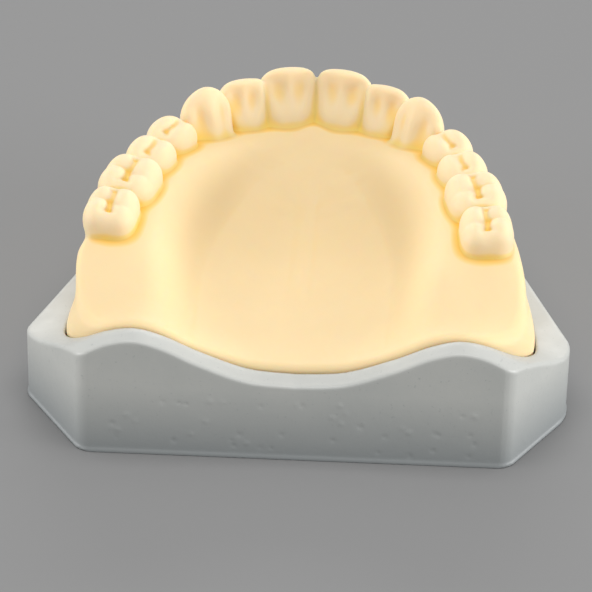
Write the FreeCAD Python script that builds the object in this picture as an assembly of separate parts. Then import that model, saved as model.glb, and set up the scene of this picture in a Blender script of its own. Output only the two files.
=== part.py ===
import FreeCAD, Part

# Upper study model: a cast of the whole upper dental arch standing in a moulded base.
# Millimetres. +Z up, +Y towards the front teeth, origin at the bottom centre of the base.

import math
import os

from FreeCAD import Vector

# Base: flat back, two angled heels, sides that taper to the canines, two front faces.
BASE_WIDTH = 81.4
BACK_Y = -38.0
BACK_WIDTH = 62.0
HEEL_DEPTH = 15.0
SIDE_ANGLE = 71.0
CANINE_Y = 25.0
APEX_Y = 39.9
BACK_RADIUS = 1.5
HEEL_RADIUS = 2.5
CANINE_RADIUS = 4.0
APEX_RADIUS = 10.0
LIP_PROUD = 0.25
LIP_HEIGHT = 0.6
FLOOR_THICKNESS = 4.0
SEAM_CLEARANCE = 0.3

# Height of the base's top land along its back edge, as (distance from the middle, height),
# and how much of that height is left further forward, as (y, share).
BACK_EDGE = [(0, 12.6), (7, 13.2), (14, 15.8), (19, 18.2), (23.2, 19.3), (27, 18.6),
             (31, 16.7), (35.3, 15.0), (40, 11.5), (50, 10.5)]
BACK_SHARE = [(-45, 1.0), (-38, 1.0), (-34.5, 1.0), (-30.5, 0.75), (-23, 0.25), (-14, 0.0),
              (50, 0.0)]
SIDE_HEIGHT = 10.8

# Edge of the cast where it meets the base, right half from the back to the front.
CAST_OUTLINE = [(0, -33.9), (10, -33.9), (20, -34.1), (27, -33.5), (31.0, -31.0),
                (33.7, -27.3), (34.3, -22.5), (33.7, -15), (32.2, -7.5), (30, 0),
                (27.2, 8), (24, 15.5), (20.3, 22), (15.5, 27.3), (9.5, 31.3),
                (4, 33.1), (0, 33.5)]
# How far the cast's wall stands inside that edge, as (height, inset), at the back and
# along the sides, and where one gives way to the other.
BACK_TAPER = [(4, 1.0), (13, 0.3), (20, 0.0), (26, 0.8), (32, 1.6)]
SIDE_TAPER = [(4, 1.0), (12, 0.0), (15, 0.4), (17, 1.0), (21, 1.6), (26, 1.9), (32, 2.2)]
TAPER_BLEND = (-31.0, -24.0)
WALL_LEVELS = [4, 8, 12, 15, 17, 21, 26, 32]

# The arch is set in its cast turned slightly about the front teeth.
ARCH_TURN = 1.2
TURN_Y = 28.6

# Ridge that carries the teeth: its middle line, and the height of the gum along it.
RIDGE_LINE = [(0, 28.6), (4.4, 27.9), (11.2, 24.6), (16.9, 19.2), (20.9, 11.6),
              (23.6, 4.6), (25.9, -3.9), (27.7, -12.4), (28.2, -22), (28.0, -36)]
GUM_HEIGHT = [(-40, 20.0), (-32, 21.4), (-26, 22.3), (-18, 22.9), (-8, 23.7), (8, 23.2),
              (17, 21.7), (23, 20.6), (26, 20.7), (30, 21.4), (40, 21.6)]
RIDGE_HALF_WIDTH = [(-40, 5.4), (-18, 5.0), (-4, 3.6), (40, 3.2)]
RIDGE_ROUNDING = 0.018
# Palate: its height along the middle, and how the vault runs down to it from the ridge.
PALATE_HEIGHT = [(-40, 13.4), (-33, 13.2), (-27, 12.8), (-15, 12.4), (-3, 12.6), (5, 14.0),
                 (12, 16.6), (18, 18.8), (23, 20.1), (40, 21.0)]
VAULT_WIDTH = 22.0
VAULT_POWER = 2.2
VAULT_SHOULDER = 0.42
# Rear rim: how far the cast stands above the base's land, and where that gives way.
RIM_Y = -34.6
RIM_RISE = 0.9
RIM_REACH = 17.0

# Teeth: name, kind, middle of the crown (x, y), widths along and across the arch, tip.
TEETH = [("central_incisor", "incisor", (4.43, 28.4), 8.7, 7.2, 28.6),
         ("lateral_incisor", "incisor", (11.6, 24.9), 7.0, 6.6, 27.9),
         ("canine", "canine", (17.1, 19.4), 8.0, 8.0, 28.9),
         ("first_premolar", "premolar", (21.2, 12.3), 7.2, 7.4, 26.7),
         ("second_premolar", "premolar", (23.6, 4.9), 7.2, 7.5, 27.3),
         ("first_molar", "molar", (25.8, -3.8), 9.0, 8.9, 28.0),
         ("second_molar", "molar", (27.6, -12.8), 8.8, 8.0, 27.8)]
# Sections of the peg, by height above the gum, and of the crown, by share of its height.
# Each goes on with its shift outwards and its shares of the widths along and across.
PEG = [(-7.0, 0.0, 0.50, 0.50), (-1.0, 0.0, 0.76, 0.80)]
CROWNS = {
    "incisor": [(0.22, 0.1, 0.93, 0.86), (0.62, 0.9, 0.99, 0.50), (1.0, 1.3, 0.88, 0.22)],
    "canine": [(0.25, 0.1, 0.97, 0.90), (0.62, 0.8, 0.90, 0.60), (1.0, 1.2, 0.30, 0.22)],
    "premolar": [(0.30, 0.0, 0.97, 1.00), (0.75, 0.0, 0.93, 0.86), (1.15, 0.0, 0.74, 0.62)],
    "molar": [(0.30, 0.0, 0.98, 1.00), (0.75, 0.0, 0.95, 0.88), (1.15, 0.0, 0.80, 0.68)],
}
CROWN_SETBACK = {"incisor": 1.3, "canine": 1.0, "premolar": 0.0, "molar": 0.0}
SQUARENESS = {"incisor": 2.4, "canine": 2.1, "premolar": 2.3, "molar": 3.0}
CUSP_DEPTH = {"premolar": 1.6, "molar": 1.6}

SURFACE_STEP = 1.6
HEIGHT_LIMIT = 60.0


def along(points, place):
    """Value at a place on the smooth line through (place, value) points."""
    if place <= points[0][0]:
        return points[0][1]
    if place >= points[-1][0]:
        return points[-1][1]
    i = max(k for k in range(len(points) - 1) if points[k][0] <= place)
    slopes = []
    for k in (i, i + 1):
        before = points[max(k - 1, 0)]
        after = points[min(k + 1, len(points) - 1)]
        slopes.append((after[1] - before[1]) / (after[0] - before[0]))
    step = points[i + 1][0] - points[i][0]
    t = (place - points[i][0]) / step
    rise = t * t * (3 - 2 * t)
    start_pull = t * (1 - t) * (1 - t) * step * slopes[0]
    end_pull = t * t * (t - 1) * step * slopes[1]
    return points[i][1] * (1 - rise) + points[i + 1][1] * rise + start_pull + end_pull


def smooth(t):
    """0 below 0, 1 above 1, and an even S between."""
    t = min(max(t, 0.0), 1.0)
    return t * t * (3 - 2 * t)


def mirrored(right_half):
    """Closed loop from its right half, whose two ends lie on the middle line."""
    left_half = [(-x, y) for x, y in reversed(right_half[1:-1])]
    return right_half + left_half


def turned(x, y):
    """Place in the cast of a place in the arch, which is turned about the front teeth."""
    c = math.cos(math.radians(ARCH_TURN))
    s = math.sin(math.radians(ARCH_TURN))
    return x * c + (y - TURN_Y) * s, TURN_Y - x * s + (y - TURN_Y) * c


def closed_spline(points):
    """Smooth closed wire through points."""
    curve = Part.BSplineCurve()
    curve.interpolate(Points=points, PeriodicFlag=True)
    return Part.Wire(curve.toShape())


def rounded_polygon(corners):
    """Closed wire at z = 0 through corners (x, y, radius), each one an arc."""
    edges = []
    ends = []
    for i, (x, y, radius) in enumerate(corners):
        corner = Vector(x, y, 0)
        before = Vector(*corners[i - 1][:2], 0)
        after = Vector(*corners[(i + 1) % len(corners)][:2], 0)
        back = (before - corner).normalize()
        ahead = (after - corner).normalize()
        half_angle = back.getAngle(ahead) / 2
        reach = radius / math.tan(half_angle)
        middle = (back + ahead).normalize()
        centre = corner + middle * (radius / math.sin(half_angle))
        ends.append((corner + back * reach, centre - middle * radius, corner + ahead * reach))
    for i, (start, top, end) in enumerate(ends):
        edges.append(Part.Arc(start, top, end).toShape())
        edges.append(Part.makeLine(end, ends[(i + 1) % len(ends)][0]))
    return Part.Wire(edges)


def solid_below(height, low, high, step):
    """Solid under the surface z = height(x, y) over the box from low to high."""
    columns = max(4, round((high[0] - low[0]) / step))
    rows = max(4, round((high[1] - low[1]) / step))
    grid = []
    for i in range(columns + 1):
        x = low[0] + (high[0] - low[0]) * i / columns
        ys = [low[1] + (high[1] - low[1]) * j / rows for j in range(rows + 1)]
        grid.append([Vector(x, y, height(x, y)) for y in ys])
    surface = Part.BSplineSurface()
    surface.interpolate(grid)
    return surface.toShape().extrude(Vector(0, 0, -HEIGHT_LIMIT))


def land_height(x, y):
    """Top of the base: it rises under the cast's two rear corners and falls at the sides."""
    return SIDE_HEIGHT + (along(BACK_EDGE, abs(x)) - SIDE_HEIGHT) * along(BACK_SHARE, y)


def base_outline():
    """Outline of the base's foot."""
    taper = (CANINE_Y - BACK_Y - HEEL_DEPTH) / math.tan(math.radians(SIDE_ANGLE))
    half = BASE_WIDTH / 2
    right = [(BACK_WIDTH / 2, BACK_Y, BACK_RADIUS),
             (half, BACK_Y + HEEL_DEPTH, HEEL_RADIUS),
             (half - taper, CANINE_Y, CANINE_RADIUS)]
    left = [(-x, y, radius) for x, y, radius in reversed(right)]
    return rounded_polygon(right + [(0, APEX_Y, APEX_RADIUS)] + left)


def cast_wall(grow):
    """Solid inside the cast's outer wall, grown sideways, up past the teeth."""
    points = mirrored(CAST_OUTLINE)
    wires = []
    for level in WALL_LEVELS:
        ring = []
        for i, (x, y) in enumerate(points):
            before = points[i - 1]
            after = points[(i + 1) % len(points)]
            tangent = Vector(after[0] - before[0], after[1] - before[1], 0).normalize()
            share = smooth((y - TAPER_BLEND[0]) / (TAPER_BLEND[1] - TAPER_BLEND[0]))
            inset = along(BACK_TAPER, level) * (1 - share) + along(SIDE_TAPER, level) * share
            out = grow - inset
            ring.append(Vector(x + tangent.y * out, y - tangent.x * out, level))
        wires.append(closed_spline(ring))
    return Part.makeLoft(wires, True, False)


def ridge_curve():
    """Middle line of the ridge, from one rear end round the front to the other."""
    right = [turned(x, y) for x, y in reversed(RIDGE_LINE)]
    left = [turned(-x, y) for x, y in RIDGE_LINE[1:]]
    curve = Part.BSplineCurve()
    curve.interpolate(Points=[Vector(x, y, 0) for x, y in right + left])
    return curve


RIDGE = ridge_curve()


def place_on_ridge(x, y):
    """Nearest point of the ridge line and the outward direction there."""
    near = RIDGE.parameter(Vector(x, y, 0))
    along_ridge = RIDGE.tangent(near)[0]
    return RIDGE.value(near), Vector(along_ridge.y, -along_ridge.x, 0)


def vault_height(x, y):
    """Height of the ridge, and of the palate inside it."""
    nearest, outward = place_on_ridge(x, y)
    offset = Vector(x, y, 0) - nearest
    out = offset.dot(outward)
    gum = along(GUM_HEIGHT, y)
    if out > 0:
        return gum - RIDGE_ROUNDING * out * out
    depth = (offset.Length - along(RIDGE_HALF_WIDTH, y)) / VAULT_WIDTH
    depth = min(max(depth, 0.0), 1.0)
    share = smooth(depth / VAULT_SHOULDER) * (1 - (1 - depth) ** VAULT_POWER)
    return gum + (along(PALATE_HEIGHT, y) - gum) * share


def cast_height(x, y):
    """Top of the cast without its teeth, down to its rim behind."""
    rim = land_height(x, y) + RIM_RISE
    vault = vault_height(x, y)
    left_over = 1 - min(max((y - RIM_Y) / RIM_REACH, 0.0), 1.0)
    return vault + (rim - vault) * left_over ** 2


def make_base():
    """Base moulding: lip, walls, wavy land and the socket for the cast."""
    foot = base_outline()
    lip = Part.Face(foot).extrude(Vector(0, 0, LIP_HEIGHT))
    wall = Part.Face(foot.makeOffset2D(-LIP_PROUD)).extrude(Vector(0, 0, HEIGHT_LIMIT / 2))
    half = BASE_WIDTH / 2 + 2
    top = solid_below(land_height, (-half, BACK_Y - 2), (half, APEX_Y + 2), SURFACE_STEP)
    body = lip.fuse(wall.common(top)).removeSplitter()
    socket = cast_wall(SEAM_CLEARANCE)
    return body.cut(socket)


def superellipse(centre, along_arch, across, half_along, half_across, power, z):
    """Closed rounded-square section of a tooth."""
    ring = []
    steps = 16
    for i in range(steps):
        angle = 2 * math.pi * i / steps
        c = math.cos(angle)
        s = math.sin(angle)
        u = half_along * math.copysign(abs(c) ** (2 / power), c)
        v = half_across * math.copysign(abs(s) ** (2 / power), s)
        spot = centre + along_arch * u + across * v
        ring.append(Vector(spot.x, spot.y, z))
    return closed_spline(ring)


def cusp_wave(position, width):
    """1 over the cusps, at a quarter of the width each side, and 0 in the groove."""
    return (1 - math.cos(4 * math.pi * position / width)) / 2


def make_tooth(kind, middle, width, depth, tip):
    """Crown and root peg of one tooth."""
    nearest, outward = place_on_ridge(*middle)
    centre = Vector(middle[0], middle[1], 0)
    along_arch = Vector(-outward.y, outward.x, 0)
    gum = along(GUM_HEIGHT, middle[1])
    crown_sections = [(share * (tip - gum), *rest) for share, *rest in CROWNS[kind]]
    wires = []
    for height, shift, share_along, share_across in PEG + crown_sections:
        spot = centre + outward * (shift - CROWN_SETBACK[kind])
        wires.append(superellipse(spot, along_arch, outward, width / 2 * share_along,
                                  depth / 2 * share_across, SQUARENESS[kind], gum + height))
    crown = Part.makeLoft(wires, True, False)
    if kind not in CUSP_DEPTH:
        return crown
    groove = CUSP_DEPTH[kind]

    def biting_surface(x, y):
        offset = Vector(x, y, 0) - centre
        u = offset.dot(along_arch)
        v = offset.dot(outward)
        ridge = cusp_wave(u, width) if kind == "molar" else math.cos(math.pi * u / width / 1.3)
        return tip - groove * (1 - ridge * cusp_wave(v, depth))

    reach = 0.75 * max(width, depth)
    low = (middle[0] - reach, middle[1] - reach)
    high = (middle[0] + reach, middle[1] + reach)
    return crown.common(solid_below(biting_surface, low, high, SURFACE_STEP / 2))


def make_teeth():
    """All the teeth, each side in order from the middle, by name."""
    teeth = {}
    for side, sign in (("right", -1), ("left", 1)):
        for name, kind, (x, y), width, depth, tip in TEETH:
            middle = turned(sign * x, y)
            teeth[side + "_" + name] = make_tooth(kind, middle, width, depth, tip)
    return teeth


def make_cast(teeth):
    """Palate and ridges, with a socket for each tooth's peg."""
    half = BASE_WIDTH / 2
    top = solid_below(cast_height, (-half, BACK_Y), (half, APEX_Y), SURFACE_STEP)
    cast = cast_wall(0.0).common(top)
    return cast.cut(list(teeth.values()))


def main():
    os.makedirs("parts", exist_ok=True)
    teeth = make_teeth()
    shapes = {"model_base": make_base(), "arch_cast": make_cast(teeth)}
    shapes.update(teeth)
    for name, shape in shapes.items():
        shape.exportStep("parts/" + name + ".step")
        box = shape.BoundBox
        print(name, "valid" if shape.isValid() else "NOT VALID", len(shape.Solids),
              "volume %.1f" % shape.Volume, "z %.2f to %.2f" % (box.ZMin, box.ZMax))


main()
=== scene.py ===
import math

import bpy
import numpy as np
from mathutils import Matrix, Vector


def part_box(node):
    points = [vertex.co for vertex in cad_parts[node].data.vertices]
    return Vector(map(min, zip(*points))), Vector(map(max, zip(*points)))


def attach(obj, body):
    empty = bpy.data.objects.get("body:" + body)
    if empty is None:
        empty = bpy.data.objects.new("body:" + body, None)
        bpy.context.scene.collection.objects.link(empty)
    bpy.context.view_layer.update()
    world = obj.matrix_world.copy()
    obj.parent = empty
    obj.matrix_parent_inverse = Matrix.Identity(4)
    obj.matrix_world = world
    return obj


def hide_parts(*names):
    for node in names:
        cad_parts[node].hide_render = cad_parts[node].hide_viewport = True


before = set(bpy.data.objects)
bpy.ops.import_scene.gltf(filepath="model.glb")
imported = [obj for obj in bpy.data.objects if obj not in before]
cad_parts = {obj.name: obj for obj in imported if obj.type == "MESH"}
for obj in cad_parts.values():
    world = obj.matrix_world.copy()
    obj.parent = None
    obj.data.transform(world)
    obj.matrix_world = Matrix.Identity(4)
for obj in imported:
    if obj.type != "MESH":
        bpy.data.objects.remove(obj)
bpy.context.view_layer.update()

# Looks of an upper study model: a cream cast of the dental arch in a pale grey rubber base.
# The shapes are worked out in millimetres as fields, negative inside, on a regular grid, and
# their zero surface becomes the mesh. The meshes are in metres. +Y is towards the front teeth.

import openvdb
from mathutils import Matrix, Vector

MM = 0.001
VOXEL = 0.25
FIELD_LIMIT = 4.0
SHARP_ANGLE = 50.0

# Base. Its box comes from the frame.
BACK_WIDTH = 62.0
HEEL_DEPTH = 15.0
SIDE_ANGLE = 71.0
CANINE_Y = 25.0
APEX_Y = 39.9
SHARP_CORNER_REACH = 0.25
# Corner radii of the outline from the back edge's +X end round the front.
CORNER_RADII = {"back": 1.4, "plus_x_side": 3.0, "plus_x_canine": 4.0, "apex": 5.5,
                "minus_x_canine": 4.0, "minus_x_heel": 1.4}
LIP_PROUD = 0.22
LIP_HEIGHT = 0.55
LIP_EDGE_RADIUS = 0.15
LIP_BLEND = 0.2
FOOT_BLEND = 0.15
EDGE_RADIUS = 0.4
FLOOR_THICKNESS = 4.0
SEAM_CLEARANCE = 0.22
SOCKET_EDGE_RADIUS = 0.35
SOCKET_FLOOR_BLEND = 0.5
# Height of the land along the back edge, by distance from the middle, and how much of that
# is left further forward, by y.
BACK_EDGE = [(0, 12.6), (7, 13.2), (14, 15.8), (19, 18.2), (23.2, 19.3), (27, 18.6),
             (31, 16.6), (33, 15.5), (35.3, 14.7), (40, 11.5), (50, 10.5)]
BACK_SHARE = [(-45, 1.0), (-38, 1.0), (-34.5, 1.0), (-30.5, 0.75), (-23, 0.25), (-14, 0.0),
              (50, 0.0)]
SIDE_HEIGHT = 10.8
LAND_FALL = 0.12
LAND_FALL_Y = -34.4
LAND_FALL_REACH = 3.0

# Cast: its edge at the base, the taper of its wall, the ridge and the palate.
CAST_OUTLINE = [(0, -33.9), (10, -33.9), (20, -34.1), (27, -33.5), (31.0, -31.0),
                (33.7, -27.3), (34.3, -22.5), (33.7, -15), (32.2, -7.5), (30, 0),
                (27.2, 8), (24, 15.5), (20.3, 22), (15.5, 27.3), (9.5, 31.3),
                (4, 33.1), (0, 33.5)]
# How far the wall stands inside that edge, by height above the base's land.
WALL_INSET = [(-16, 1.3), (0, 0.0), (1.5, 0.0), (3.0, 0.25), (4.5, 0.65), (6, 1.25),
              (7.5, 1.5), (10, 1.7), (13, 1.9), (20, 2.2)]
# The same for the rear of the -X side, which stands straighter.
REAR_INSET = [(-16, 1.3), (0, 0.25), (1.5, 0.35), (3.0, 0.8), (4.5, 1.3), (6, 1.6),
              (7.5, 1.65), (10, 1.25), (11.5, 0.9), (20, 0.7)]
REAR_X = -20.0
REAR_Y = -12.0
REAR_FADE = 8.0
# The arch is turned a little on its base, about the front teeth.
ARCH_TURN = 1.2
TURN_Y = 28.6
RIDGE_LINE = [(0, 28.6), (4.4, 27.9), (11.2, 24.6), (16.9, 19.2), (20.9, 11.6),
              (23.6, 4.6), (25.9, -3.9), (27.7, -12.4), (28.2, -22), (28.0, -36)]
GUM_HEIGHT = [(-40, 20.0), (-32, 21.4), (-26, 22.3), (-18, 22.9), (-8, 23.7), (8, 23.2),
              (17, 21.7), (23, 20.6), (26, 20.7), (30, 21.4), (40, 21.6)]
PALATE_HEIGHT = [(-40, 13.4), (-33, 13.2), (-27, 12.8), (-15, 12.4), (-3, 12.6), (5, 14.0),
                 (12, 16.6), (18, 18.8), (23, 20.1), (40, 21.0)]
RIDGE_HALF_WIDTH = [(-40, 5.4), (-18, 5.0), (-4, 3.6), (40, 3.2)]
VAULT_WIDTH = 22.0
VAULT_POWER = 2.2
VAULT_SHOULDER = 0.42
RIDGE_ROUNDING = 0.018
RIM_Y = -34.6
RIM_RISE = 0.9
RIM_REACH = 17.0
CAST_EDGE_ROUNDING = 1.3
PLUG_FLOOR_BLEND = 0.4
PAPILLA_HEIGHT = 0.55
PAPILLA_Y = 22.5
RAPHE_HEIGHT = 0.18
FOLD_HEIGHT = 0.09
FOLD_COUNT = 3
FIRST_FOLD_Y = 15.5
FOLD_GAP = 4.2

# Box of the grid that the cast and the teeth are worked out on.
CAST_GRID = ((-37.0, -37.0, 3.0), (37.0, 36.5, 31.0))

# Teeth from the middle backwards: name, kind, width along the arch, width across it,
# how far the tongue side runs in from the edge to the gum, and how much the tooth faces
# the front instead of straight out of the arch.
TEETH = [("central_incisor", "incisor", 9.4, 7.2, 4.3, 0.4),
         ("lateral_incisor", "incisor", 7.6, 6.6, 3.4, 0.4),
         ("canine", "canine", 8.7, 8.0, 3.4, 0.4),
         ("first_premolar", "premolar", 7.9, 7.4, 0.0, 0.1),
         ("second_premolar", "premolar", 8.0, 7.5, 0.0, 0.0),
         ("first_molar", "molar", 10.1, 8.8, 0.0, 0.0),
         ("second_molar", "molar", 9.4, 7.9, 0.0, 0.0)]
EDGE_FROM_MIDDLE = {"incisor": 1.2, "canine": 1.0, "premolar": 0.0, "molar": 0.0}
# Cusps as (along, across, drop below the tip), in shares of the half widths: along is
# positive towards the middle of the mouth, across is positive towards the cheek.
CUSPS = {"premolar": [(0.02, 0.50, 0.0), (0.10, -0.46, 0.5)],
         "molar": [(0.50, 0.52, 0.0), (-0.46, 0.52, 0.1), (0.36, -0.46, 0.1),
                   (-0.52, -0.48, 0.45)]}
CUSP_SLOPES = {"premolar": (0.9, 2.3), "molar": (1.6, 2.1)}
CUSP_BLEND = 0.7
# Grooves as lines of (along, across) points with a depth and a half width in mm.
GROOVES = {"premolar": [([(0.50, 0.10), (0.30, 0.0), (0.0, -0.05), (-0.30, 0.0),
                          (-0.50, 0.12)], 0.42, 0.30),
                        ([(-0.36, 0.02), (-0.52, -0.22)], 0.4, 0.25)],
           "molar": [([(0.60, 0.03), (0.25, -0.04), (-0.10, 0.02), (-0.48, -0.02)], 0.46, 0.30),
                     ([(-0.06, 0.02), (0.02, 0.35), (0.06, 1.05)], 0.36, 0.30),
                     ([(-0.48, -0.02), (-0.66, 0.24)], 0.42, 0.34),
                     ([(-0.48, -0.02), (-0.66, -0.26)], 0.42, 0.34),
                     ([(0.52, 0.0), (0.70, 0.22)], 0.35, 0.24),
                     ([(-0.26, -0.02), (-0.24, -0.42), (-0.28, -1.0)], 0.20, 0.40)]}
CROWN_EDGE_BLEND = 1.7
ROOT_LENGTH = 5.0
ROOT_SWELLING = 0.7
GUM_BLEND = 0.8
CONTACT_BLEND = 0.22
TOOTH_REACH = 9.0
# How far above the surface the crowns' cutter reaches, and the wedges that part the crowns.
CUTTER_MARGIN = 1.2
WEDGE_REACH = 7.5
WEDGE_END_GAP = 2.0
WEDGE_HEIGHTS = (10.0, 31.0)
# Distances over which the surface is compared with its surroundings, for the painted shade in
# the cream's hollows and creases.
CREASE_REACH = 0.9
HOLLOW_REACH = 2.4

# Base's back face: how many bubbles and pits, how far they stand out or in, and how wide
# and how high up they are.
BUBBLES = 16
BUBBLE_HEIGHT = (0.06, 0.14)
BUBBLE_WIDTH = (0.3, 0.45)
BUBBLE_Z = (2.5, 10.5)
PITS = 26
PIT_DEPTH = (0.08, 0.16)
PIT_WIDTH = (0.25, 0.4)
PIT_Z = (1.2, 9.0)
MARK_SEED = 7


# ---------------------------------------------------------------- fields

def along(points, place):
    """Value at each place on the smooth line through (place, value) points."""
    at = np.array([p[0] for p in points], float)
    value = np.array([p[1] for p in points], float)
    last = len(points) - 1
    before = np.maximum(np.arange(last + 1) - 1, 0)
    after = np.minimum(np.arange(last + 1) + 1, last)
    slope = (value[after] - value[before]) / (at[after] - at[before])
    i = np.clip(np.searchsorted(at, place, side="right") - 1, 0, last - 1)
    step = at[i + 1] - at[i]
    t = np.clip((place - at[i]) / step, 0, 1)
    rise = t * t * (3 - 2 * t)
    pull = t * (1 - t) ** 2 * step * slope[i] + t * t * (t - 1) * step * slope[i + 1]
    return value[i] * (1 - rise) + value[i + 1] * rise + pull


def smooth(t):
    """0 below 0, 1 above 1, and an even S between."""
    t = np.clip(t, 0, 1)
    return t * t * (3 - 2 * t)


def blend_min(a, b, radius):
    """Union of two fields with a soft inside corner."""
    near = np.maximum(radius - np.abs(a - b), 0) / radius
    return np.minimum(a, b) - near * near * radius / 4


def blend_max(a, b, radius):
    """Intersection of two fields with a soft outside edge."""
    return -blend_min(-a, -b, radius)


def round_max(a, b, radius):
    """Intersection of two fields with an edge of the given radius."""
    plain = np.maximum(a, b)
    corner = np.hypot(np.maximum(a + radius, 0), np.maximum(b + radius, 0)) - radius
    return np.where(plain > -radius, corner, plain)


def turned(x, y, turn=ARCH_TURN):
    """Place after a turn about the front teeth, in degrees, clockwise from above."""
    c = math.cos(math.radians(turn))
    s = math.sin(math.radians(turn))
    return x * c + (y - TURN_Y) * s, TURN_Y - x * s + (y - TURN_Y) * c


def bump(distance, width):
    """1 in the middle, falling to nothing over the width."""
    return np.exp(-(distance / width) ** 2)


def smooth_line(points, per_span=12):
    """Points along the smooth open line through (x, y) points."""
    place = np.arange(len(points), dtype=float)
    fine = np.linspace(0, len(points) - 1, (len(points) - 1) * per_span + 1)
    columns = [along(list(zip(place, [p[k] for p in points])), fine) for k in (0, 1)]
    return np.stack(columns, 1)


def mirrored_loop(half):
    """Closed loop of (x, y) points from its +X half."""
    other_half = half[1:-1][::-1] * np.array([-1.0, 1.0])
    return np.concatenate([half, other_half])


def nearest_on_line(x, y, line):
    """Distance to a line of points and the tangent at the nearest place."""
    best = np.full(x.shape, 1e9)
    tangent_x = np.zeros(x.shape)
    tangent_y = np.zeros(x.shape)
    for start, end in zip(line[:-1], line[1:]):
        span = end - start
        length = np.hypot(*span)
        t = ((x - start[0]) * span[0] + (y - start[1]) * span[1]) / length ** 2
        t = np.clip(t, 0, 1)
        gap = np.hypot(x - start[0] - t * span[0], y - start[1] - t * span[1])
        closer = gap < best
        best = np.where(closer, gap, best)
        tangent_x = np.where(closer, span[0] / length, tangent_x)
        tangent_y = np.where(closer, span[1] / length, tangent_y)
    return best, tangent_x, tangent_y


def loop_distance(x, y, loop):
    """Signed distance to a closed loop of points, negative inside."""
    closed = np.concatenate([loop, loop[:1]])
    gap = nearest_on_line(x, y, closed)[0]
    inside = np.zeros(x.shape, bool)
    for start, end in zip(closed[:-1], closed[1:]):
        if start[1] == end[1]:
            continue
        crosses = (start[1] > y) != (end[1] > y)
        at = start[0] + (y - start[1]) * (end[0] - start[0]) / (end[1] - start[1])
        inside ^= crosses & (x < at)
    return np.where(inside, -gap, gap)


def steepness(surface, step):
    """How much further apart levels are along z than across a height surface."""
    down_x, down_y = np.gradient(surface, step)
    return np.sqrt(1 + down_x ** 2 + down_y ** 2)


class Grid:
    """Regular grid over a box, in millimetres."""

    def __init__(self, low, high, step):
        self.low = np.array(low, float)
        self.step = step
        count = np.ceil((np.array(high) - self.low) / step).astype(int) + 1
        self.x, self.y, self.z = [self.low[k] + step * np.arange(count[k]) for k in range(3)]
        self.flat_x, self.flat_y = np.meshgrid(self.x, self.y, indexing="ij")

    def window(self, middle, reach, lowest):
        """Slices of the grid round a point, from a height upwards."""
        first = [int((middle[k] - reach - self.low[k]) / self.step) for k in (0, 1)]
        last = [int((middle[k] + reach - self.low[k]) / self.step) for k in (0, 1)]
        floor = int((lowest - self.low[2]) / self.step)
        return (slice(max(first[0], 0), last[0]), slice(max(first[1], 0), last[1]),
                slice(max(floor, 0), None))

    def sample(self, values, points):
        """Values at points (n, 3), by straight lines between grid places."""
        at = (points - self.low) / self.step
        limit = np.array(values.shape) - 1.001
        at = np.clip(at, 0, limit)
        i = at.astype(int)
        t = at - i
        total = np.zeros(len(points))
        for corner in np.ndindex(2, 2, 2):
            share = np.ones(len(points))
            for k in range(3):
                share = share * (t[:, k] if corner[k] else 1 - t[:, k])
            total += share * values[i[:, 0] + corner[0], i[:, 1] + corner[1],
                                    i[:, 2] + corner[2]]
        return total


# ---------------------------------------------------------------- base

def base_plan(x, y, low, high):
    """Signed distance to the outline of the base's foot."""
    half = high[0] + SHARP_CORNER_REACH
    heel_y = low[1] + HEEL_DEPTH
    canine_x = half - (CANINE_Y - heel_y) / math.tan(math.radians(SIDE_ANGLE))
    plus_x = [(BACK_WIDTH / 2, low[1]), (half, heel_y), (canine_x, CANINE_Y)]
    minus_x = [(-px, py) for px, py in reversed(plus_x)]
    corners = np.array(plus_x + [(0, APEX_Y)] + minus_x)
    plan = low[1] - y
    for start, end, radius in zip(corners[:-1], corners[1:], CORNER_RADII.values()):
        normal = np.array([end[1] - start[1], start[0] - end[0]])
        normal = normal / np.hypot(*normal)
        face = (x - start[0]) * normal[0] + (y - start[1]) * normal[1]
        plan = round_max(plan, face, radius)
    return plan


def land_height(x, y):
    """Top of the base: it rises under the cast's two rear corners and falls at the sides."""
    wave = (along(BACK_EDGE, np.abs(x)) - SIDE_HEIGHT) * along(BACK_SHARE, y)
    return SIDE_HEIGHT + wave - LAND_FALL * smooth((LAND_FALL_Y - y) / LAND_FALL_REACH)


def wall_field(x, y, z):
    """Signed distance to the cast's outer wall, which flares out just above the base."""
    outline = loop_distance(x, y, mirrored_loop(smooth_line(CAST_OUTLINE)))[:, :, None]
    rise = z - land_height(x, y)[:, :, None]
    rear = (smooth(x / REAR_X) * smooth((REAR_Y - y) / REAR_FADE))[:, :, None]
    return outline + along(WALL_INSET, rise) * (1 - rear) + along(REAR_INSET, rise) * rear


def base_field(grid, low, high):
    """Base moulding: lip, walls, wavy land and the socket."""
    x, y, z = grid.flat_x, grid.flat_y, grid.z[None, None, :]
    plan = base_plan(x, y, low, high)[:, :, None]
    land = land_height(x, y)
    top = (z - land[:, :, None]) / steepness(land, grid.step)[:, :, None]
    body = round_max(plan + LIP_PROUD, top, EDGE_RADIUS)
    lip = round_max(plan, z - LIP_HEIGHT, LIP_EDGE_RADIUS)
    body = blend_min(body, lip, LIP_BLEND)
    socket = wall_field(x, y, z) - SEAM_CLEARANCE
    socket = blend_max(socket, FLOOR_THICKNESS - z, SOCKET_FLOOR_BLEND)
    body = round_max(body, -socket, SOCKET_EDGE_RADIUS)
    return blend_max(body, low[2] - z, FOOT_BLEND)


# ---------------------------------------------------------------- cast

def ridge_line():
    """Line of the ridge from its rear end at -X round the front to the one at +X."""
    plus_x = smooth_line(RIDGE_LINE)
    minus_x = plus_x[1:][::-1] * np.array([-1.0, 1.0])
    both = np.concatenate([minus_x, plus_x])
    return np.stack(turned(both[:, 0], both[:, 1]), 1)


RIDGE = ridge_line()


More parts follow.
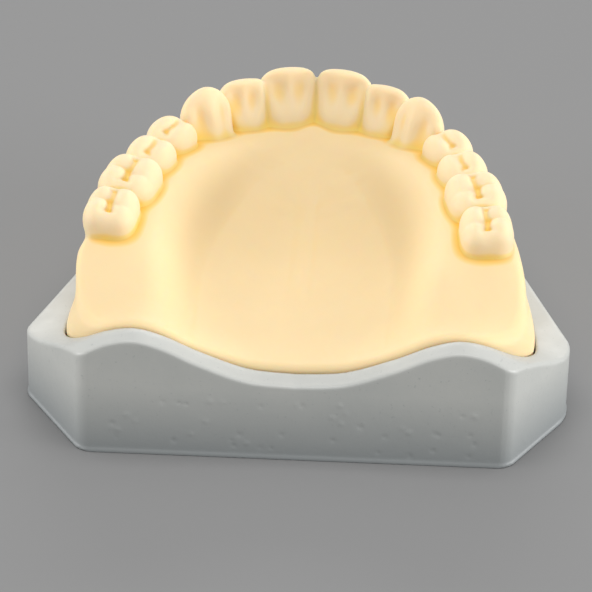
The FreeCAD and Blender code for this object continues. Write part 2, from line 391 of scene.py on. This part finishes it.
def gum_surface(x, y):
    """Height of the cast without its teeth."""
    gap, tangent_x, tangent_y = nearest_on_line(x, y, RIDGE)
    arch = loop_distance(x, y, RIDGE)
    gum = along(GUM_HEIGHT, y)
    outside = gum - RIDGE_ROUNDING * gap ** 2
    depth = np.clip((gap - along(RIDGE_HALF_WIDTH, y)) / VAULT_WIDTH, 0, 1)
    share = smooth(depth / VAULT_SHOULDER) * (1 - (1 - depth) ** VAULT_POWER)
    inside = gum + (along(PALATE_HEIGHT, y) - gum) * share
    surface = np.where(arch > 0, outside, inside)
    surface += palate_relief(*turned(x, y, -ARCH_TURN))
    rim = land_height(x, y) + RIM_RISE
    left_over = 1 - np.clip((y - RIM_Y) / RIM_REACH, 0, 1)
    return surface + (rim - surface) * left_over ** 2


def palate_relief(x, y):
    """Soft marks of the palate: papilla behind the incisors, folds and the middle line."""
    papilla = PAPILLA_HEIGHT * bump(x, 2.2) * bump(y - PAPILLA_Y, 2.6)
    raphe = RAPHE_HEIGHT * bump(x - 0.3, 1.1) * smooth((17 - y) / 6) * smooth((y + 26) / 14)
    folds = 0.0
    reach = np.abs(x) - 1.5
    for i in range(FOLD_COUNT):
        fold_y = FIRST_FOLD_Y - FOLD_GAP * i
        bend = y - fold_y - 0.10 * reach - 0.35 * np.sin(x * 0.9 + i)
        ends = smooth(reach / 2) * smooth((11 - i - reach) / 4)
        folds = folds + FOLD_HEIGHT * bump(bend, 0.9) * ends
    return papilla + raphe + folds


def root_swelling(x, y, z, teeth):
    """Soft swellings of the outer wall over the roots of the front teeth."""
    swelling = np.zeros(x.shape)
    for tooth in teeth:
        out_x = x - tooth.middle[0]
        out_y = y - tooth.middle[1]
        beside = out_x * tooth.mesial[0] + out_y * tooth.mesial[1]
        ahead = out_x * tooth.outward[0] + out_y * tooth.outward[1]
        share = bump(beside, 0.62 * tooth.half_u) * smooth(ahead / 2)
        swelling = np.maximum(swelling, share * smooth((tooth.middle[1] + 2) / 16))
    fade = smooth((z - SIDE_HEIGHT - 2.5) / 5)
    return ROOT_SWELLING * swelling[:, :, None] * fade


def cast_field(grid, teeth):
    """Palate and ridges, down to the floor of the base's socket."""
    x, y, z = grid.flat_x, grid.flat_y, grid.z[None, None, :]
    wall = wall_field(x, y, z) - root_swelling(x, y, z, teeth)
    surface = gum_surface(x, y)
    top = (z - surface[:, :, None]) / steepness(surface, grid.step)[:, :, None]
    body = round_max(wall, top, CAST_EDGE_ROUNDING)
    return blend_max(body, FLOOR_THICKNESS - z, PLUG_FLOOR_BLEND)


# ---------------------------------------------------------------- teeth

def posterior_crown(kind, u, v, w, half_u, half_v, tip):
    """Premolar or molar: rounded sides, cusps and grooves. w is height above the gum."""
    low_part = np.clip((1.5 - w) / 2.6, 0, 2)
    high_part = np.clip((w - 1.5) / (tip - 1.5), 0, 1.5)
    a = half_u * (1 - 0.15 * low_part ** 2) * (1 - 0.05 * high_part ** 2)
    b = half_v * (1 - 0.11 * low_part ** 2) * (1 - 0.14 * high_part ** 1.6)
    power = 3.1 if kind == "molar" else 2.3
    ring = ((np.abs(u) / a) ** power + (np.abs(v) / b) ** power) ** (1 / power)
    sides = (ring - 1) * np.minimum(a, b)
    flat_u, flat_v = u[:, :, :1], v[:, :, :1]
    steep_u, steep_v = CUSP_SLOPES[kind]
    surface = None
    for cusp_u, cusp_v, drop in CUSPS[kind]:
        away_u = flat_u / half_u - cusp_u
        away_v = flat_v / half_v - cusp_v
        mound = tip + 0.15 - drop - steep_u * away_u ** 2 - steep_v * away_v ** 2
        surface = mound if surface is None else blend_max(surface, mound, CUSP_BLEND)
    for line, depth, width in GROOVES[kind]:
        points = np.array(line) * np.array([half_u, half_v])
        fine = smooth_line([tuple(p) for p in points], 6)
        gap = nearest_on_line(flat_u, flat_v, fine)[0]
        surface = surface - depth * bump(gap, width) - 0.2 * depth * bump(gap, 2.6 * width)
    top = (w - surface) * 0.8
    return blend_max(sides, top, CROWN_EDGE_BLEND)


def incisor_crown(u, v, w, half_u, tip, tongue_reach):
    """Incisor: curved lip side, hollowed tongue side with ridges at its edges."""
    n = w / tip
    a = half_u * (0.88 + 0.12 * smooth((n + 0.1) / 0.7))
    slope = np.where(u > 0, 0.02, 0.10)
    edge = tip * (1 - slope * (u / half_u) ** 2)
    outline = round_max(np.abs(u) - a, w - edge, np.where(u > 0, 0.7, 2.1))
    lip = v - (1.9 + 0.95 * n - 2.1 * n ** 2 - 0.05 * u ** 2)
    tongue_line = -0.85 - tongue_reach * np.clip(1 - n, 0, 1.3) ** 1.5
    ridge_at = half_u * (0.30 + 0.62 * np.clip(n, 0, 1) ** 0.8)
    in_crown = smooth((n + 0.05) / 0.25) * smooth((1.0 - n) / 0.3)
    ridges = 0.30 * bump(np.abs(u) - ridge_at, 0.95) * in_crown
    hollow = 0.52 * bump(np.abs(u) - 0.34 * half_u, half_u * 0.36) * bump(n - 0.58, 0.25)
    spur = 0.50 * bump(u, 0.5 * half_u) * bump(n - 0.22, 0.22)
    tongue = (tongue_line - ridges + hollow - spur - v) * 0.8 + 0.05 * u ** 2
    return blend_max(blend_max(outline, lip, 0.9), tongue, 0.8)


def canine_crown(u, v, w, half_u, tip, tongue_reach):
    """Canine: one blunt tip, a ridge down its tongue side and a hollow each side of it."""
    n = w / tip
    a = half_u * (0.86 + 0.14 * smooth((n + 0.1) / 0.6))
    edge = tip + 0.2 - 2.5 * np.abs((u - 0.3) / half_u) ** 1.7
    outline = blend_max(np.abs(u) - a, (w - edge) * 0.8, 1.6)
    lip = v - (2.0 + 1.4 * n - 2.5 * n ** 2 - 0.09 * u ** 2)
    tongue_line = -0.9 - tongue_reach * np.clip(1 - n, 0, 1.3) ** 1.3
    ridge = 0.4 * bump(u - 0.4, 1.2) * smooth((0.95 - n) / 0.4)
    edges = 0.2 * bump(np.abs(u) - 0.8 * half_u, 1.1) * smooth((0.8 - n) / 0.3)
    hollow = 0.42 * bump(np.abs(u - 0.4) - 0.48 * half_u, 1.1) * bump(n - 0.5, 0.3)
    tongue = (tongue_line - ridge - edges + hollow - v) * 0.8 + 0.045 * u ** 2
    return blend_max(blend_max(outline, lip, 1.2), tongue, 1.2)


class Tooth:
    """Place and axes of one tooth, from its box in the frame."""

    def __init__(self, side, name, kind, width, depth, tongue_reach, frontward):
        self.node = side + "_" + name
        self.kind = kind
        self.half_u = width / 2
        self.half_v = depth / 2
        self.tongue_reach = tongue_reach
        low, high = [np.array(corner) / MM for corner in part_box(self.node)]
        middle = (low + high)[:2] / 2
        _, tangent_x, tangent_y = nearest_on_line(middle[:1], middle[1:], RIDGE)
        outward = np.array([-tangent_y[0], tangent_x[0]]) * (1 - frontward)
        outward = outward + np.array([0.0, frontward])
        self.outward = outward / np.hypot(*outward)
        tangent = np.array([self.outward[1], -self.outward[0]])
        self.mesial = tangent * (1 if middle[0] < 0 else -1)
        self.middle = middle + self.outward * EDGE_FROM_MIDDLE[kind]
        self.gum = float(along(GUM_HEIGHT, middle[1]))
        self.tip = high[2] - self.gum

    def field(self, x, y, z):
        """Signed distance to the crown and root, roughly."""
        off_x = x - self.middle[0]
        off_y = y - self.middle[1]
        u = off_x * self.mesial[0] + off_y * self.mesial[1]
        v = off_x * self.outward[0] + off_y * self.outward[1]
        w = z - self.gum
        u, v, w = np.broadcast_arrays(u, v, w)
        if self.kind == "incisor":
            crown = incisor_crown(u, v, w, self.half_u, self.tip, self.tongue_reach)
        elif self.kind == "canine":
            crown = canine_crown(u, v, w, self.half_u, self.tip, self.tongue_reach)
        else:
            crown = posterior_crown(self.kind, u, v, w, self.half_u, self.half_v, self.tip)
        return blend_max(crown, -ROOT_LENGTH - w, 1.0)


def make_teeth_field(grid, teeth):
    """Union of all the teeth."""
    shape = (len(grid.x), len(grid.y), len(grid.z))
    union = np.full(shape, TOOTH_REACH, np.float32)
    for tooth in teeth:
        part = grid.window(tooth.middle, TOOTH_REACH, tooth.gum - ROOT_LENGTH - 2)
        x = grid.x[part[0]][:, None, None]
        y = grid.y[part[1]][None, :, None]
        z = grid.z[part[2]][None, None, :]
        own = tooth.field(x, y, z)
        union[part] = blend_min(union[part], own, CONTACT_BLEND)
    return union


# ---------------------------------------------------------------- meshes

def zero_surface(name, field, grid):
    """Mesh of a field's zero surface, in metres."""
    field = np.ascontiguousarray(np.clip(field, -FIELD_LIMIT, FIELD_LIMIT), np.float32)
    for k in range(3):
        edge = [slice(None)] * 3
        for end in (0, -1):
            edge[k] = end
            field[tuple(edge)] = np.maximum(field[tuple(edge)], grid.step)
    volume = openvdb.FloatGrid(background=FIELD_LIMIT)
    volume.copyFromArray(field)
    points, quads = volume.convertToQuads(isovalue=0.0)
    points = settle(grid.low + np.array(points, float) * grid.step, field, grid)
    mesh = bpy.data.meshes.new(name)
    mesh.from_pydata((points * MM).tolist(), [], quads.tolist())
    mesh.validate()
    return mesh


def settle(points, field, grid):
    """Moves points along the slope onto the zero surface."""
    reach = grid.step * 0.5
    for _ in range(3):
        value = grid.sample(field, points)
        slope = np.zeros(points.shape)
        for k in range(3):
            shift = np.zeros(3)
            shift[k] = reach
            ahead = grid.sample(field, points + shift)
            slope[:, k] = (ahead - grid.sample(field, points - shift)) / (2 * reach)
        size = np.maximum((slope ** 2).sum(1), 0.05)
        move = slope * (value / size)[:, None]
        length = np.maximum(np.linalg.norm(move, axis=1), 1e-9)
        move *= np.minimum(1, reach / length)[:, None]
        points = points - move
    return points


def add_object(mesh, name):
    """Links a new object that holds a mesh."""
    made = bpy.data.objects.new(name, mesh)
    bpy.context.scene.collection.objects.link(made)
    return made


def cut(target, cutter, operation):
    """Mesh of the target after one exact boolean with the cutter."""
    modifier = target.modifiers.new("cut", "BOOLEAN")
    modifier.operation = operation
    modifier.solver = "MANIFOLD"
    modifier.object = cutter
    graph = bpy.context.evaluated_depsgraph_get()
    mesh = bpy.data.meshes.new_from_object(target.evaluated_get(graph))
    target.modifiers.remove(modifier)
    return mesh


def finish_mesh(mesh):
    """Smooth shading with crisp edges only where a cut meets the surface."""
    mesh.polygons.foreach_set("use_smooth", [True] * len(mesh.polygons))
    mesh.set_sharp_from_angle(angle=math.radians(SHARP_ANGLE))
    mesh.update()


def softened(field, reach, step):
    """Field averaged over a cube, to tell hollows from bulges."""
    half = max(1, int(round(reach / step)))
    out = field.astype(np.float32)
    for axis in range(3):
        padded = np.concatenate([np.repeat(out.take([0], axis), half + 1, axis), out,
                                 np.repeat(out.take([-1], axis), half, axis)], axis)
        total = np.cumsum(padded, axis, dtype=np.float64)
        upper = total.take(range(2 * half + 1, total.shape[axis]), axis)
        lower = total.take(range(0, total.shape[axis] - 2 * half - 1), axis)
        out = ((upper - lower) / (2 * half + 1)).astype(np.float32)
    return out


def mark_hollows(obj, maps, grid):
    """Stores how hollow the surface is at each vertex, for the material's painted shade."""
    mesh = obj.data
    points = np.zeros(len(mesh.vertices) * 3)
    mesh.vertices.foreach_get("co", points)
    points = points.reshape(-1, 3) / MM
    for name, values in maps.items():
        layer = mesh.attributes.new(name, "FLOAT", "POINT")
        layer.data.foreach_set("value", grid.sample(values, points))


def prism(corners, low, high, name):
    """Closed upright prism over plan corners, in mm."""
    count = len(corners)
    points = [(x * MM, y * MM, low * MM) for x, y in corners]
    points += [(x * MM, y * MM, high * MM) for x, y in corners]
    faces = [tuple(range(count))[::-1], tuple(range(count, 2 * count))]
    faces += [(i, (i + 1) % count, count + (i + 1) % count, count + i) for i in range(count)]
    mesh = bpy.data.meshes.new(name)
    mesh.from_pydata(points, [], faces)
    return add_object(mesh, name)


def contact_lines(row):
    """Plan line between each pair of neighbours and past each end of the row."""
    lines = []
    for first, second in zip(row[:-1], row[1:]):
        across = second.middle - first.middle
        across = across / np.hypot(*across)
        share = first.half_u / (first.half_u + second.half_u)
        place = first.middle + (second.middle - first.middle) * share
        lines.append((place, np.array([-across[1], across[0]])))
    ends = []
    for tooth in (row[0], row[-1]):
        past = tooth.middle - tooth.mesial * (tooth.half_u + WEDGE_END_GAP)
        ends.append((past, -tooth.outward))
    return [ends[0]] + lines + [ends[1]]


def remove(obj):
    """Deletes a helper object."""
    bpy.data.objects.remove(obj)


def make_cast():
    """Gums and palate, and the teeth, cut from one soft shape along the gum line."""
    grid = Grid(*CAST_GRID, VOXEL)
    left = [Tooth("left", *facts) for facts in TEETH]
    right = [Tooth("right", *facts) for facts in TEETH]
    row = left[::-1] + right
    gum = cast_field(grid, row)
    crowns = make_teeth_field(grid, row)
    whole_field = blend_min(gum, crowns, GUM_BLEND)
    whole_field = np.clip(whole_field, -FIELD_LIMIT, FIELD_LIMIT)
    whole_field = softened(whole_field, grid.step, grid.step)
    region = blend_max(crowns - gum, whole_field - CUTTER_MARGIN, 0.1)
    near = np.clip(whole_field, -FIELD_LIMIT, FIELD_LIMIT)
    maps = {"crease": near - softened(near, CREASE_REACH, grid.step),
            "hollow": near - softened(near, HOLLOW_REACH, grid.step)}
    whole = add_object(zero_surface("whole", whole_field, grid), "whole")
    cutter = add_object(zero_surface("cutter", region, grid), "cutter")
    gums = add_object(cut(whole, cutter, "DIFFERENCE"), "gums_and_palate")
    crowns_object = add_object(cut(whole, cutter, "INTERSECT"), "crowns")
    pieces = {"arch_cast": gums}
    lines = contact_lines(row)
    for tooth, first, second in zip(row, lines[:-1], lines[1:]):
        corners = [first[0] + first[1] * WEDGE_REACH, first[0] - first[1] * WEDGE_REACH,
                   second[0] - second[1] * WEDGE_REACH, second[0] + second[1] * WEDGE_REACH]
        wedge = prism(corners, *WEDGE_HEIGHTS, "wedge")
        mesh = cut(crowns_object, wedge, "INTERSECT")
        pieces[tooth.node] = add_object(mesh, tooth.node + "_crown")
        remove(wedge)
    for helper in (whole, cutter, crowns_object):
        remove(helper)
    for node, piece in pieces.items():
        finish_mesh(piece.data)
        mark_hollows(piece, maps, grid)
        piece.data.materials.clear()
        piece.data.materials.append(cream if node == "arch_cast" else tooth_cream)
        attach(piece, "arch")
        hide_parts(node)


def back_marks(grid, low, high):
    """Small bumps and pits on the back face, as a push on the field."""
    rng = np.random.default_rng(MARK_SEED)
    x, z = np.meshgrid(grid.x, grid.z, indexing="ij")
    push = np.zeros(x.shape)
    for _ in range(BUBBLES):
        spot = rng.uniform(-26, 26), rng.uniform(*BUBBLE_Z)
        push += rng.uniform(*BUBBLE_HEIGHT) * bump(np.hypot(x - spot[0], z - spot[1]),
                                                   rng.uniform(*BUBBLE_WIDTH))
    for _ in range(PITS):
        spot = rng.uniform(-27, 27), PIT_Z[0] + PIT_Z[1] * rng.uniform(0, 1) ** 1.8
        push -= rng.uniform(*PIT_DEPTH) * bump(np.hypot(x - spot[0], z - spot[1]),
                                               rng.uniform(*PIT_WIDTH))
    near_back = smooth((low[1] + 2.5 - grid.y) / 1.0)
    return push[:, None, :] * near_back[None, :, None]


def make_base():
    """Base moulding in place of its plain solid."""
    low, high = [np.array(corner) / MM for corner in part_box("model_base")]
    grid = Grid(low - 1.5, high + 1.5, VOXEL)
    field = base_field(grid, low, high) - back_marks(grid, low, high)
    made = add_object(zero_surface("base", field, grid), "base_moulding")
    finish_mesh(made.data)
    made.data.materials.append(grey_rubber)
    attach(made, "base")
    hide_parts("model_base")


# ---------------------------------------------------------------- materials

# Cream resin: body colour, then painted shade: the colour in wide hollows and the colour in
# creases, where less light falls.
GUM_COLOUR_AND_SHADES = ((0.825, 0.64, 0.365), (0.85, 0.57, 0.18), (0.83, 0.47, 0.07))
TOOTH_COLOUR_AND_SHADES = ((0.825, 0.665, 0.42), (0.85, 0.60, 0.16), (0.86, 0.56, 0.12))
SOFTNESS = 0.35
SOFT_DEPTH = 0.002

# Rubber: body colour, its clouds, the specks, and painted shade on the foot, darker at the
# bottom and fading out upwards.
RUBBER_BODY = (0.475, 0.48, 0.455)
RUBBER_CLOUD = (0.435, 0.445, 0.425)
RUBBER_SPECK = (0.25, 0.27, 0.27)
RUBBER_FOOT_SHADE = (0.235, 0.252, 0.256)
FOOT_SHADE_HEIGHT = 0.0115


class Nodes:
    """Short way to build one material's nodes."""

    def __init__(self, name):
        self.material = bpy.data.materials.new(name)
        self.material.use_nodes = True
        self.tree = self.material.node_tree
        self.shader = self.tree.nodes["Principled BSDF"]

    def add(self, kind, **settings):
        node = self.tree.nodes.new(kind)
        for key, value in settings.items():
            setattr(node, key, value)
        return node

    def link(self, source, target):
        self.tree.links.new(source, target)

    def set(self, **values):
        for key, value in values.items():
            self.shader.inputs[key.replace("_", " ")].default_value = value

    def noise(self, scale, detail=3.0, roughness=0.5):
        coordinates = self.add("ShaderNodeTexCoord")
        node = self.add("ShaderNodeTexNoise")
        node.inputs["Scale"].default_value = scale
        node.inputs["Detail"].default_value = detail
        node.inputs["Roughness"].default_value = roughness
        self.link(coordinates.outputs["Object"], node.inputs["Vector"])
        return node.outputs["Fac"]

    def remap(self, value, low, high, out_low=0.0, out_high=1.0):
        node = self.add("ShaderNodeMapRange")
        node.inputs["From Min"].default_value = low
        node.inputs["From Max"].default_value = high
        node.inputs["To Min"].default_value = out_low
        node.inputs["To Max"].default_value = out_high
        self.link(value, node.inputs["Value"])
        return node.outputs["Result"]

    def attribute(self, name):
        node = self.add("ShaderNodeAttribute", attribute_name=name)
        return node.outputs["Fac"]

    def mix(self, factor, first, second):
        node = self.add("ShaderNodeMix", data_type="RGBA")
        self.link(factor, node.inputs[0])
        for socket, value in zip((node.inputs[6], node.inputs[7]), (first, second)):
            if isinstance(value, tuple):
                socket.default_value = (*value, 1)
            else:
                self.link(value, socket)
        return node.outputs[2]

    def bump(self, height, strength, distance):
        node = self.add("ShaderNodeBump")
        node.inputs["Strength"].default_value = strength
        node.inputs["Distance"].default_value = distance
        self.link(height, node.inputs["Height"])
        self.link(node.outputs["Normal"], self.shader.inputs["Normal"])


def cream_resin(name, colours, hollow_shade_range, crease_shade_range):
    """Cream casting resin: waxy, with painted shade that turns hollows and creases deeper
    yellow.
    """
    colour, hollow_shade_colour, crease_shade_colour = colours
    made = Nodes(name)
    made.set(Specular_IOR_Level=0.22, Subsurface_Weight=SOFTNESS,
             Subsurface_Scale=SOFT_DEPTH, Subsurface_Radius=(1.0, 0.55, 0.22))
    clouds = made.noise(55, 3.0, 0.55)
    tone = made.mix(made.remap(clouds, 0.35, 0.65), colour, tuple(0.965 * c for c in colour))
    # Painted shade: wide hollows and fine creases are mixed towards deeper yellow, where less
    # light reaches.
    hollow_shade = made.remap(made.attribute("hollow"), *hollow_shade_range)
    tone = made.mix(hollow_shade, tone, hollow_shade_colour)
    fine = made.remap(made.attribute("crease"), *crease_shade_range, 0.0, 0.9)
    tone = made.mix(fine, tone, crease_shade_colour)
    made.link(tone, made.shader.inputs["Base Color"])
    grain = made.noise(900, 4.0, 0.6)
    made.link(made.remap(grain, 0.3, 0.7, 0.50, 0.62), made.shader.inputs["Roughness"])
    made.bump(made.noise(1500, 3.0), 0.12, 0.00006)
    return made.material


def rubber(name):
    """Grey silicone rubber: faint clouds, specks, painted shade darkening the foot, and a fine
    skin that catches the light.
    """
    made = Nodes(name)
    made.set(Specular_IOR_Level=0.6)
    clouds = made.noise(70, 4.0, 0.6)
    tone = made.mix(made.remap(clouds, 0.35, 0.68), RUBBER_BODY, RUBBER_CLOUD)
    place = made.add("ShaderNodeTexCoord")
    parts = made.add("ShaderNodeSeparateXYZ")
    made.link(place.outputs["Object"], parts.inputs["Vector"])
    # Painted shade: the rubber is darker towards the bottom of the base, fading out upwards.
    foot_shade = made.remap(parts.outputs["Z"], 0.0, FOOT_SHADE_HEIGHT, 1.0, 0.0)
    tone = made.mix(foot_shade, tone, RUBBER_FOOT_SHADE)
    specks = made.noise(1900, 2.0, 0.5)
    tone = made.mix(made.remap(specks, 0.66, 0.74, 0.0, 0.35), tone, RUBBER_SPECK)
    made.link(tone, made.shader.inputs["Base Color"])
    grain = made.noise(700, 4.0, 0.6)
    made.link(made.remap(grain, 0.3, 0.7, 0.36, 0.50), made.shader.inputs["Roughness"])
    made.bump(made.noise(1300, 4.0, 0.6), 0.25, 0.00008)
    return made.material


def floor_paper():
    """Plain matt floor."""
    made = Nodes("floor")
    tone = made.mix(made.noise(3, 2.0), (0.245, 0.245, 0.245), (0.238, 0.238, 0.238))
    made.link(tone, made.shader.inputs["Base Color"])
    made.set(Roughness=0.95, Specular_IOR_Level=0.1)
    return made.material


cream = cream_resin("cream_resin", GUM_COLOUR_AND_SHADES, (0.18, 0.55), (0.02, 0.22))
tooth_cream = cream_resin("tooth_resin", TOOTH_COLOUR_AND_SHADES, (0.0, 0.53), (0.0, 0.26))
grey_rubber = rubber("grey_rubber")

make_cast()
make_base()

# ---------------------------------------------------------------- stage

# Camera: target and offset in mm, from the middle of the base's back edge; roll in degrees.
LENS = 204.4
SENSOR = 36.0
CAMERA_TARGET = (-1.0, 25.0, 12.4)
CAMERA_OFFSET = (15.5, -423.7, 265.0)
CAMERA_ROLL = 1.173
# Lights: name, place and size in metres, power in watts.
LIGHTS = [("top", (0.0, -0.11, 1.0), (0.9, 0.6), 6.3),
          ("behind", (0.0, 1.0, 0.45), (0.9, 0.4), 3.6),
          ("right", (0.85, -0.17, 0.10), (0.6, 0.2), 6.4),
          ("left", (-0.85, -0.17, 0.10), (0.6, 0.2), 4.3)]
SURROUNDINGS = 0.52
FLOOR_HALF = 3.0


def add_camera():
    """Camera behind the model's back face, looking down at the palate."""
    data = bpy.data.cameras.new("camera")
    data.sensor_width = SENSOR
    data.lens = LENS
    camera = bpy.data.objects.new("camera", data)
    bpy.context.scene.collection.objects.link(camera)
    back_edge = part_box("model_base")[0].y
    target = Vector((0, back_edge, 0)) + Vector(CAMERA_TARGET) * MM
    place = target + Vector(CAMERA_OFFSET) * MM
    look = (target - place).to_track_quat("-Z", "Y").to_matrix().to_4x4()
    roll = Matrix.Rotation(math.radians(CAMERA_ROLL), 4, "Z")
    camera.matrix_world = Matrix.Translation(place) @ look @ roll
    bpy.context.scene.camera = camera


def add_light(name, spot, size, power):
    """Soft light aimed at the model."""
    data = bpy.data.lights.new(name, "AREA")
    data.shape = "RECTANGLE"
    data.size, data.size_y = size
    data.energy = power
    light = bpy.data.objects.new(name, data)
    bpy.context.scene.collection.objects.link(light)
    light.location = spot
    light.rotation_euler = (-Vector(spot)).to_track_quat("-Z", "Y").to_euler()


def add_world(strength):
    """Even pale surroundings."""
    world = bpy.data.worlds.new("surroundings")
    world.use_nodes = True
    background = world.node_tree.nodes["Background"]
    background.inputs["Color"].default_value = (1, 1, 1, 1)
    background.inputs["Strength"].default_value = strength
    bpy.context.scene.world = world


def add_floor():
    """Plain floor under the model."""
    mesh = bpy.data.meshes.new("floor")
    half = FLOOR_HALF
    corners = [(-half, -half, 0), (half, -half, 0), (half, half, 0), (-half, half, 0)]
    mesh.from_pydata(corners, [], [(0, 1, 2, 3)])
    floor = add_object(mesh, "floor")
    mesh.materials.append(floor_paper())


# Colours are shown as they are, so that the cream keeps its warmth.
bpy.context.scene.view_settings.view_transform = "Standard"
add_camera()
for light_facts in LIGHTS:
    add_light(*light_facts)
add_world(SURROUNDINGS)
add_floor()
